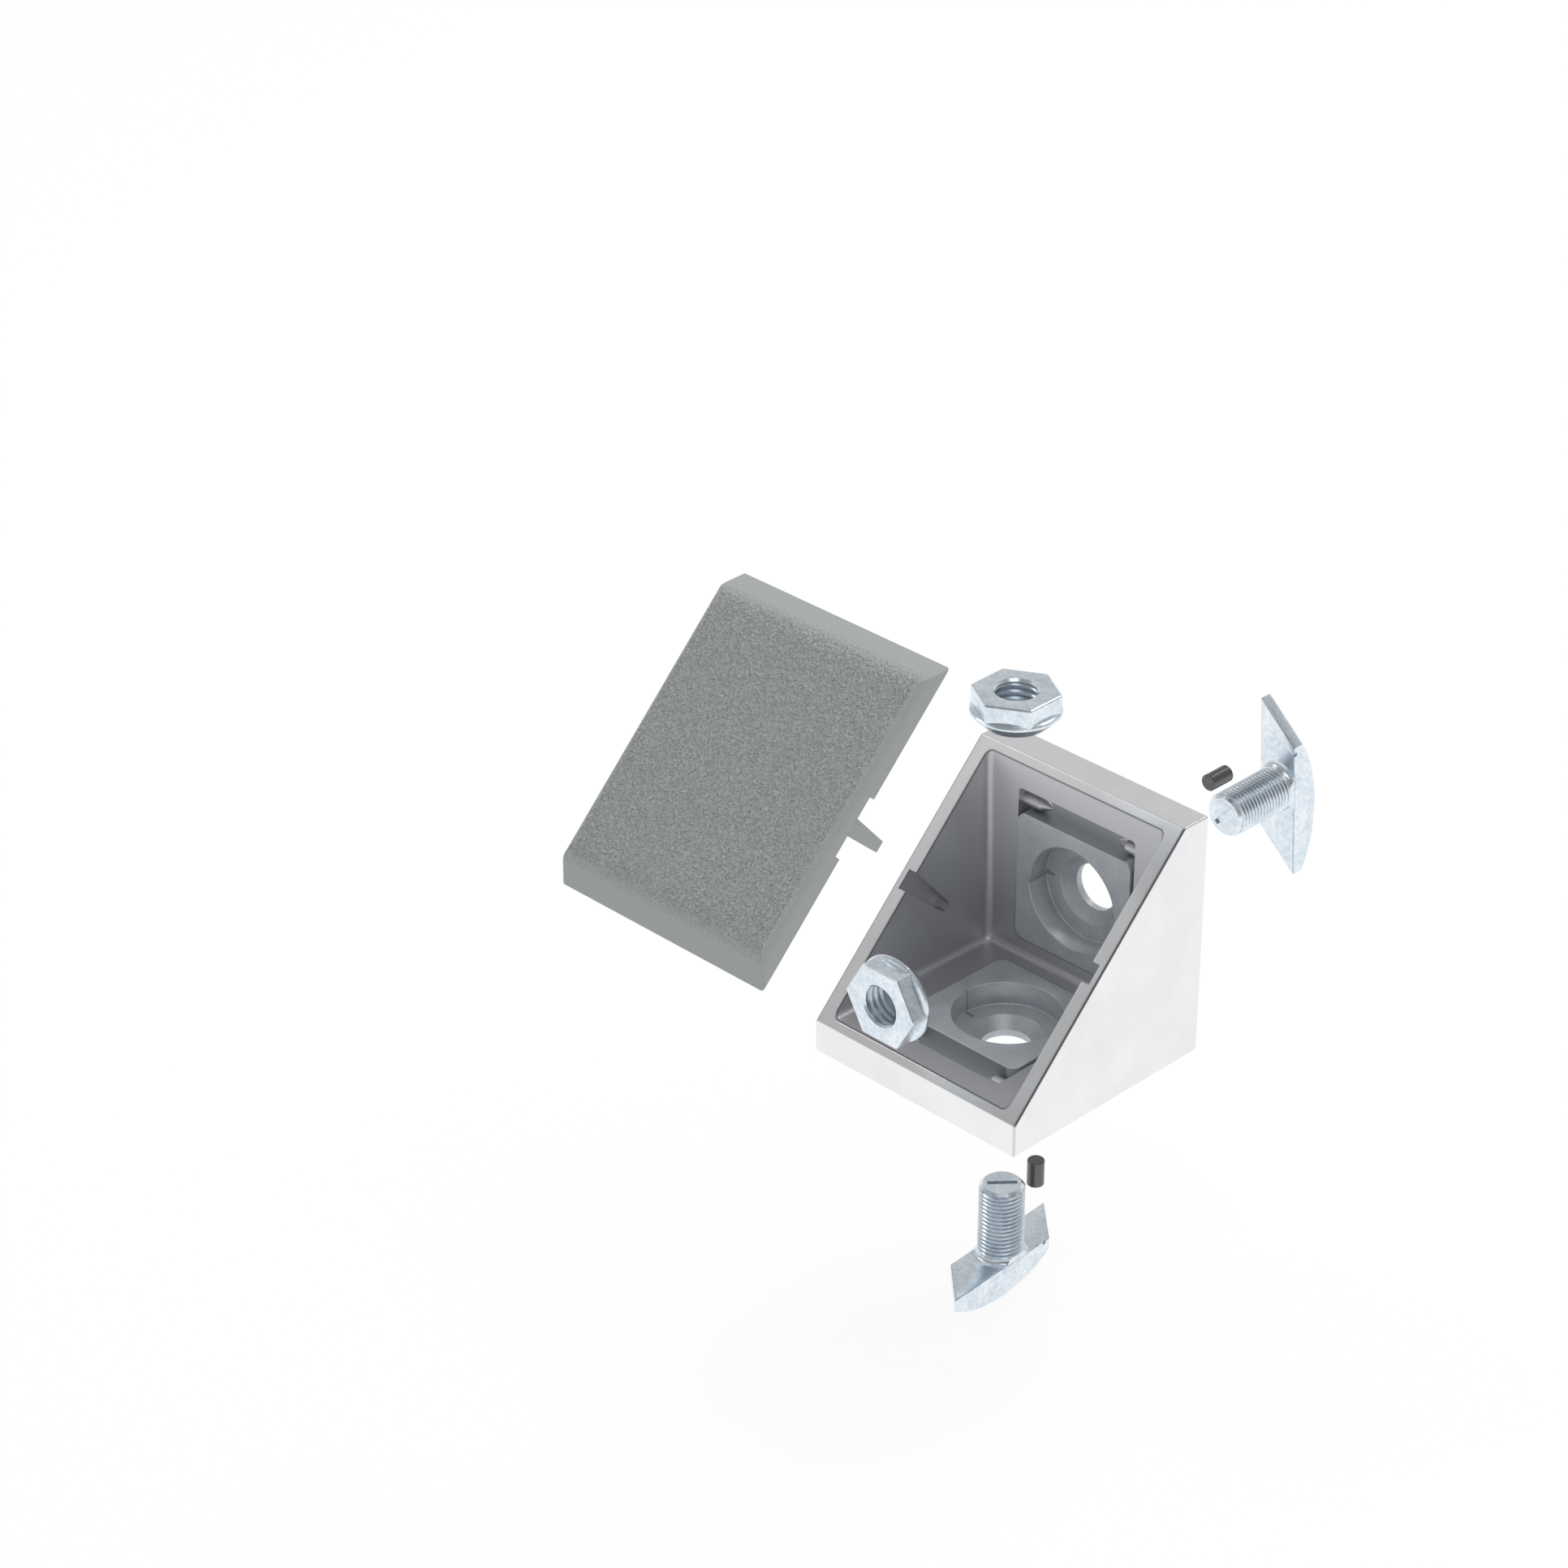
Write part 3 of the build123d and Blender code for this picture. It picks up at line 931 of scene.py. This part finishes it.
@dataclass(frozen=True)
class CollarNut:
    """M8 hexagon nut on a round collar, with a seat cone below. Its hexagon face is at zero."""

    node: str
    seat: SeatFrame
    pull: float
    turn_deg: float
    across_flats: float = 13.0 * MM
    hexagon_height: float = 3.3 * MM
    hexagon_edge: float = 0.24 * MM
    corner_round: float = 0.35 * MM
    collar_radius: float = 7.5 * MM
    collar_rim: float = 0.35 * MM
    crown_drop: float = 0.4 * MM
    height: float = 5.7 * MM
    seat_height: float = 8.1 * MM
    mouth_radius: float = 3.75 * MM
    thread_run_in: float = 0.9 * MM
    thread: ThreadForm = ThreadForm(major=4.0 * MM, minor=3.35 * MM, pitch=1.25 * MM)
    # Middle ring of the hexagon's rounded top edge, as shares of the way out and of the way down
    edge_middle: tuple[float, float] = (0.65, 0.28)
    # Rings of the crowned collar, as shares of the way from the hexagon to the collar's rim
    crown_rings: tuple[float, ...] = (0.2, 0.4, 0.6, 0.8, 0.94)
    sharp_deg: float = 22.0
    points_per_corner: int = 5
    points_per_flat: int = 19
    rows_per_turn: int = 24

    def build(self) -> bpy.types.Object:
        """Builds the nut at its place, in place of its node.

        Returns:
            The nut's object.
        """
        outline = self._hexagon(self.across_flats / 2)
        angles = [math.atan2(y, x) for x, y in outline]
        tube = RingMesh(len(outline))
        edge, rim_top = self.hexagon_edge, -self.hexagon_height
        rim_low = rim_top - self.collar_rim
        inner = self._hexagon(self.across_flats / 2 - edge)
        tube.ring(self._circle(angles, self.mouth_radius, 0.0))
        tube.ring([(x, y, 0.0) for x, y in inner])
        out, down = self.edge_middle
        tube.ring(
            [
                (x * (1 - out) + u * out, y * (1 - out) + v * out, -down * edge)
                for (x, y), (u, v) in zip(inner, outline)
            ]
        )
        tube.ring([(x, y, -edge) for x, y in outline])
        tube.ring([(x, y, self._crown(math.hypot(x, y))) for x, y in outline])
        for share in self.crown_rings:
            ring = []
            for (x, y), angle in zip(outline, angles):
                radius = math.hypot(x, y) * (1 - share) + self.collar_radius * share
                ring.append((radius * math.cos(angle), radius * math.sin(angle), self._crown(radius)))
            tube.ring(ring)
        edge_round = self.collar_rim / 3
        tube.ring(self._circle(angles, self.collar_radius, rim_top - edge_round))
        tube.ring(self._circle(angles, self.collar_radius, rim_low))
        foot = self.collar_radius - (self.height + rim_low)
        tube.ring(self._circle(angles, foot + 2 * edge_round, -self.height + 2 * edge_round))
        tube.ring(self._circle(angles, foot, -self.height))
        self._bore(tube, angles)
        tube.close()
        drop = self._mouth_drop()
        bore = SmoothZone(ZONE_MARGIN * self.thread.major, drop - self.height, -drop)
        piece = finished(tube.mesh, self.node + "_plated", self.sharp_deg, bore)
        # Painted shade: the bore's faces take the darker bore finish
        for face in piece.data.polygons:
            if bore.holds(face.center):
                face.material_index = 1
        piece.data.transform(self.seat.matrix(self.seat_height + self.pull, self.turn_deg))
        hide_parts(self.node)
        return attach(piece, "root")

    def _mouth_drop(self) -> float:
        """How deep the countersink at each end of the bore goes."""
        return self.mouth_radius - self.thread.minor

    def _bore(self, tube: RingMesh, angles: Sequence[float]) -> None:
        """Adds the threaded bore's rings, from the collar's face up to the hexagon's.

        Args:
            tube: The mesh that gets the rings.
            angles: Angle of each ring point round the axis.
        """
        rows = round(self.height / self.thread.pitch * self.rows_per_turn)
        for row in range(rows):
            height = -self.height + self.height * row / rows
            depth = min(-height, height + self.height)
            mouth = max(self.mouth_radius - depth, self.thread.minor)
            share = min(max(depth - self._mouth_drop(), 0.0) / self.thread_run_in, 1.0)
            widest = self.thread.minor + (self.thread.major - self.thread.minor) * share
            ring = []
            for angle in angles:
                radius = max(min(self.thread.radius(angle, height), widest), mouth)
                ring.append((radius * math.cos(angle), radius * math.sin(angle), height))
            tube.ring(ring)

    def _crown(self, radius: float) -> float:
        """Gives the height of the collar's crowned top.

        Args:
            radius: Distance from the axis, in metres.

        Returns:
            The height, which is below the hexagon's face.
        """
        flat = self.across_flats / 2
        out = max(radius - flat, 0.0) / (self.collar_radius - flat)
        return -self.hexagon_height + self.crown_drop * (1 - out**2)

    def _circle(self, angles: Sequence[float], radius: float, height: float) -> list[Point]:
        """Points of a round ring at the outline's angles."""
        return [(radius * math.cos(a), radius * math.sin(a), height) for a in angles]

    def _hexagon(self, flat_radius: float) -> list[tuple[float, float]]:
        """Outline of a hexagon with rounded corners, the same number of points on each side.

        Args:
            flat_radius: Half the width across the flats.

        Returns:
            Points in order round the axis.
        """
        points = []
        half_side = flat_radius * math.tan(math.pi / 6)
        cut = self.corner_round * math.tan(math.pi / 6)
        for side in range(6):
            facing = math.pi / 6 + side * math.pi / 3
            out = Vector((math.cos(facing), math.sin(facing)))
            along = Vector((-out.y, out.x))
            for i in range(self.points_per_flat):
                share = -1 + 2 * i / (self.points_per_flat - 1)
                points.append(out * flat_radius + along * share * (half_side - cut))
            centre = out * (flat_radius - self.corner_round) + along * (half_side - cut)
            for i in range(1, self.points_per_corner + 1):
                angle = facing + math.pi / 3 * i / (self.points_per_corner + 1)
                points.append(centre + Vector((math.cos(angle), math.sin(angle))) * self.corner_round)
        return [(p.x, p.y) for p in points]


@dataclass(frozen=True)
class TeeBolt:
    """M8 T-head bolt: parallelogram head with an arched underside, threaded shank, slotted end.

    Its thread has the pictured 0.8 mm pitch, finer than the usual 1.25 mm.
    """

    node: str
    seat: SeatFrame
    pull: float
    turn_deg: float
    slot_lip: float = 4.5 * MM
    shank_length: float = 14.2 * MM
    end_radius: float = 3.3 * MM
    neck_radius: float = 5.0 * MM
    neck_height: float = 1.0 * MM
    head_half_width: float = 3.71 * MM
    head_half_span: float = 8.75 * MM
    edge_thickness: float = 2.3 * MM
    middle_thickness: float = 5.8 * MM
    edge_round: float = 0.16 * MM
    round_from_deg: float = 40.0
    root_sink: float = 0.3 * MM
    end_slot: Point = (5.1 * MM, 0.9 * MM, 0.9 * MM)
    dimple_radius: float = 0.42 * MM
    dimple_below_top: float = 0.36 * MM
    dimple_from_corner: float = 1.35 * MM
    thread: ThreadForm = ThreadForm(major=4.0 * MM, minor=3.52 * MM, pitch=0.8 * MM)
    sharp_deg: float = 32.0
    # How far a normal leans, at least for a rounded top edge and at most for the end slot's wall
    edge_lean: float = 0.2
    wall_lean: float = 0.5
    points_round: int = 96
    rows_per_turn: int = 16
    neck_rows: int = 8
    arch_steps: int = 28

    def build(self) -> list[bpy.types.Object]:
        """Builds the bolt at its place, in place of its node.

        Returns:
            The head and the shank.
        """
        placing = self.seat.matrix(-self.slot_lip - self.pull, self.turn_deg)
        chamfer_foot = self.shank_length - (self.thread.major - self.end_radius)
        threaded = SmoothZone(ZONE_MARGIN * self.thread.major, self.neck_height, chamfer_foot)
        head = finished(self._head(), self.node + "_head", self.sharp_deg, threaded)
        self._sink_dimples(head)
        shank = finished(self._shank(), self.node + "_shank", self.sharp_deg, threaded)
        slot = bmesh.new()
        bmesh.ops.create_cube(slot, size=1.0)
        slot.transform(
            Matrix.Translation((0, 0, self.shank_length))
            @ Matrix.Rotation(math.pi / 4, 4, "Z")
            @ Matrix.Diagonal((*self.end_slot, 1.0))
        )
        cut_away(shank, slot)
        self._mark_shank(shank, threaded)
        for piece in (head, shank):
            piece.data.transform(placing)
            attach(piece, "root")
        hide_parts(self.node)
        return [head, shank]

    def _sink_dimples(self, head: bpy.types.Object) -> None:
        """Sinks a dimple by each blunt corner, and gives dimples and rounded top edges painted shade
        finishes.

        Args:
            head: The head in its own frame.
        """
        side_end = self.head_half_span * math.sqrt(2) - self.head_half_width
        for way in (1, -1):
            pit = bmesh.new()
            bmesh.ops.create_icosphere(pit, subdivisions=3, radius=self.dimple_radius)
            place = Vector((self.head_half_width, side_end - self.dimple_from_corner, -self.dimple_below_top))
            place.xy = place.xy * way
            pit.transform(Matrix.Translation(place))
            cut_away(head, pit)
            # Painted shade in each dimple
            for face in head.data.polygons:
                sunk = abs(face.center.x) < self.head_half_width - self.edge_round / 2
                if sunk and (face.center - place).length < self.dimple_radius:
                    face.material_index = 2
        # Painted shade line on the rounded top edges
        for face in head.data.polygons:
            if face.normal.z > self.edge_lean and face.normal.to_2d().length > self.edge_lean:
                face.material_index = 1

    def _mark_shank(self, shank: bpy.types.Object, threaded: SmoothZone) -> None:
        """Gives the thread's root a painted shade finish, and the end slot's walls another.

        Args:
            shank: The shank in its own frame.
            threaded: The zone with thread.
        """
        half_deep = (self.thread.major + self.thread.minor) / 2
        # Painted shade in the thread's root and on the end slot's walls
        for face in shank.data.polygons:
            radius = face.center.to_2d().length
            if threaded.holds(face.center) and radius < half_deep:
                face.material_index = 1
            elif face.center.z > threaded.high and radius < self.end_radius:
                if abs(face.normal.z) < self.wall_lean:
                    face.material_index = 2

    def _head(self) -> bmesh.types.BMesh:
        """Makes the parallelogram bar with its arched underside.

        Returns:
            The head's mesh.
        """
        bar = RingMesh(4)
        span, width = self.head_half_span, self.head_half_width
        drop = self.middle_thickness - self.edge_thickness
        arch = (span**2 + drop**2) / (2 * drop)
        for i in range(self.arch_steps + 1):
            s = -span + 2 * span * i / self.arch_steps
            low = -self.middle_thickness + arch - math.sqrt(arch**2 - s**2)
            corners = ((-width, 0.0), (width, 0.0), (width, low), (-width, low))
            bar.ring([(x, s * math.sqrt(2) - x, z) for x, z in corners])
        bar.cap(0, flip=False)
        bar.cap(-1, flip=True)
        mesh = bar.mesh
        bmesh.ops.recalc_face_normals(mesh, faces=mesh.faces)
        sharp = [e for e in mesh.edges if e.calc_face_angle(0.0) > math.radians(self.round_from_deg)]
        bmesh.ops.bevel(
            mesh,
            geom=sharp,
            offset=self.edge_round,
            segments=3,
            profile=0.5,
            affect="EDGES",
            clamp_overlap=True,
        )
        return mesh

    def _shank(self) -> bmesh.types.BMesh:
        """Makes the threaded shank with its hollow neck and chamfered end.

        Returns:
            The shank's mesh.
        """
        tube = RingMesh(self.points_round)
        angles = [2 * math.pi * i / self.points_round for i in range(self.points_round)]
        flare = self.neck_radius - self.thread.major
        heights = [-self.root_sink]
        heights += [self.neck_height * i / self.neck_rows for i in range(self.neck_rows)]
        rows = round((self.shank_length - self.neck_height) / self.thread.pitch * self.rows_per_turn)
        step = (self.shank_length - self.neck_height) / rows
        heights += [self.neck_height + step * i for i in range(rows + 1)]
        for height in heights:
            share = min(max(1 - height / self.neck_height, 0.0), 1.0)
            neck = self.thread.major + flare * (1 - math.sqrt(1 - share**2)) if share else 0.0
            chamfer = self.end_radius + self.shank_length - height
            ring = []
            for angle in angles:
                radius = max(neck, min(self.thread.radius(angle, height), chamfer))
                x, y = radius * math.cos(angle), radius * math.sin(angle)
                if share:
                    x = min(max(x, -self.head_half_width), self.head_half_width)
                ring.append((x, y, height))
            tube.ring(ring)
        tube.cap(0, flip=True)
        tube.cap(-1, flip=False)
        return tube.mesh


@dataclass(frozen=True)
class StudioCamera:
    """The camera that looks down at the set over its open corner."""

    place: Point = (0.42164, -0.47389, 0.41663)
    tilt_deg: float = 60.0
    turn_deg: float = 45.0
    lens_mm: float = 104.42
    sensor_mm: float = 36.0

    def build(self) -> bpy.types.Object:
        """Makes the camera and hands it to the scene.

        Returns:
            The camera.
        """
        data = bpy.data.cameras.new("studio_camera")
        data.lens = self.lens_mm
        data.sensor_width = self.sensor_mm
        data.clip_start = 0.01
        data.clip_end = 10.0
        camera = bpy.data.objects.new("studio_camera", data)
        camera.location = self.place
        camera.rotation_euler = (math.radians(self.tilt_deg), 0.0, math.radians(self.turn_deg))
        bpy.context.scene.collection.objects.link(camera)
        bpy.context.scene.camera = camera
        return camera


@dataclass(frozen=True)
class SoftLamp:
    """A square softbox. One that isn't mirrored lights the object without a highlight."""

    name: str
    place: Point
    size: float
    watts: float
    mirrored: bool = True

    def build(self, target: Vector) -> bpy.types.Object:
        """Hangs the softbox and turns it to its target.

        Args:
            target: The point that it looks at.

        Returns:
            The lamp.
        """
        data = bpy.data.lights.new(self.name, "AREA")
        data.shape = "SQUARE"
        data.size = self.size
        data.energy = self.watts
        lamp = bpy.data.objects.new(self.name, data)
        lamp.visible_glossy = self.mirrored
        lamp.location = self.place
        look = target - Vector(self.place)
        lamp.rotation_euler = look.to_track_quat("-Z", "Y").to_euler()
        bpy.context.scene.collection.objects.link(lamp)
        return lamp


@dataclass(frozen=True)
class Dimming:
    """Dims what metal mirrors of the room to one side.

    Its places are parts of the mirrored direction along the axis, from -1 to 1.
    """

    axis: str
    bright_at: float
    dim_at: float
    dim_level: float


@dataclass(frozen=True)
class Studio:
    """White paper floor, an even pale room and soft lamps."""

    floor_half: float = 3.0
    soft_level: float = 0.74
    ceiling_level: float = 0.36
    wall_level: float = 0.85
    white_wall_height: float = 0.16
    dimmings: tuple[Dimming, ...] = (
        Dimming("X", bright_at=0.35, dim_at=0.85, dim_level=0.45),
        Dimming("Y", bright_at=0.3, dim_at=-0.5, dim_level=0.70),
    )
    lamps: tuple[SoftLamp, ...] = (
        SoftLamp("softbox_top", (0.50, -0.26, 1.12), size=0.55, watts=1.6),
        SoftLamp("softbox_key", (-0.03, 0.70, 1.09), size=0.6, watts=6.5, mirrored=False),
        SoftLamp("softbox_back", (0.0, 0.78, 1.03), size=0.22, watts=0.9),
        SoftLamp("softbox_left", (-0.82, -0.28, 0.90), size=0.26, watts=0.9),
    )

    def build(self) -> None:
        """Builds the floor, the room's light and the lamps."""
        low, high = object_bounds()
        middle = (low + high) / 2
        mesh = bpy.data.meshes.new("paper_floor")
        reach = self.floor_half
        corners = [(-reach, -reach, 0), (reach, -reach, 0), (reach, reach, 0), (-reach, reach, 0)]
        mesh.from_pydata(corners, [], [(0, 1, 2, 3)])
        floor = bpy.data.objects.new("paper_floor", mesh)
        floor.location = (middle.x, middle.y, low.z)
        mesh.materials.append(PaperFloor().material())
        bpy.context.scene.collection.objects.link(floor)
        floor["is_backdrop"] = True
        self._room()
        for lamp in self.lamps:
            lamp.build(middle)

    def _room(self) -> None:
        """Lights the room evenly under a dimmer ceiling, with its wall seen as white."""
        scene = bpy.context.scene
        world = bpy.data.worlds.new("studio_room")
        scene.world = world
        world.use_nodes = True
        tree = world.node_tree
        tree.nodes.clear()
        look = add_node(tree, "ShaderNodeTexCoord")
        part = add_node(tree, "ShaderNodeSeparateXYZ", links={0: look.outputs["Generated"]})
        rays = add_node(tree, "ShaderNodeLightPath")
        ceiling = add_node(
            tree,
            "ShaderNodeMapRange",
            {"To Min": self.wall_level, "To Max": self.ceiling_level},
            {"Value": part.outputs["Z"]},
        )
        wall = add_node(
            tree,
            "ShaderNodeMapRange",
            {"From Min": self.white_wall_height, "From Max": 0.0, "To Max": 1.0},
            {"Value": part.outputs["Z"]},
        )
        room = add_node(
            tree,
            "ShaderNodeMix",
            {"data_type": "FLOAT", 3: 1.0},
            {0: wall.outputs["Result"], 2: ceiling.outputs["Result"]},
        )
        shaded = room.outputs[0]
        for dim in self.dimmings:
            share = add_node(
                tree,
                "ShaderNodeMapRange",
                {"From Min": dim.bright_at, "From Max": dim.dim_at, "To Min": 1.0, "To Max": dim.dim_level},
                {"Value": part.outputs[dim.axis]},
            )
            shaded = add_node(
                tree, "ShaderNodeMath", {"operation": "MULTIPLY"}, {0: shaded, 1: share.outputs["Result"]}
            ).outputs[0]
        mirrored = add_node(
            tree,
            "ShaderNodeMath",
            {"operation": "ADD", "use_clamp": True},
            {0: rays.outputs["Is Glossy Ray"], 1: rays.outputs["Is Transmission Ray"]},
        )
        lit = add_node(
            tree,
            "ShaderNodeMix",
            {"data_type": "FLOAT", 2: self.soft_level},
            {0: mirrored.outputs[0], 3: shaded},
        )
        strength = add_node(
            tree,
            "ShaderNodeMix",
            {"data_type": "FLOAT", 3: 1.0},
            {0: rays.outputs["Is Camera Ray"], 2: lit.outputs[0]},
        )
        light = add_node(
            tree,
            "ShaderNodeBackground",
            {"Color": (1.0, 1.0, 1.0, 1.0)},
            {"Strength": strength.outputs[0]},
        )
        add_node(tree, "ShaderNodeOutputWorld", links={"Surface": light.outputs[0]})
        scene.view_settings.view_transform = "Standard"


def main() -> None:
    """Builds the scene piece by piece."""
    logging.basicConfig(level=logging.INFO)
    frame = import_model()
    wardrobe = Wardrobe()
    kept = [
        NodePiece("bracket_body", Finish.SHELL),
        NodePiece("base_seat_plate", Finish.PLATE),
        NodePiece("back_seat_plate", Finish.PLATE),
        NodePiece("cover_cap", Finish.CAP),
        NodePiece("base_pin", Finish.PIN),
        NodePiece("back_pin", Finish.PIN),
    ]
    for piece in kept:
        LOG.info("dressed %s", piece.dress(frame, wardrobe).name)
    base, back = SeatFrame(Facing.BASE), SeatFrame(Facing.BACK)
    plated = [
        CollarNut("base_collar_nut", base, pull=60.26 * MM, turn_deg=90.0).build(),
        CollarNut("back_collar_nut", back, pull=45.12 * MM, turn_deg=0.0).build(),
        *TeeBolt("base_t_bolt", base, pull=36.58 * MM, turn_deg=2.4).build(),
        *TeeBolt("back_t_bolt", back, pull=41.5 * MM, turn_deg=3.4).build(),
    ]
    for piece in plated:
        is_nut = "nut" in piece.name
        # Painted shade finishes for the nuts' bores and the bolts' thread roots, rounded head edges, slot
        # walls and dimples
        inner = (Finish.BORE_SHADE,) if is_nut else (Finish.ROOT_AND_EDGE_SHADE, Finish.RECESS_SHADE)
        wardrobe.dress(piece, Finish.FASTENER, *inner)
        LOG.info("built %s", piece.name)
    StudioCamera().build()
    Studio().build()


if __name__ == "__main__":
    main()
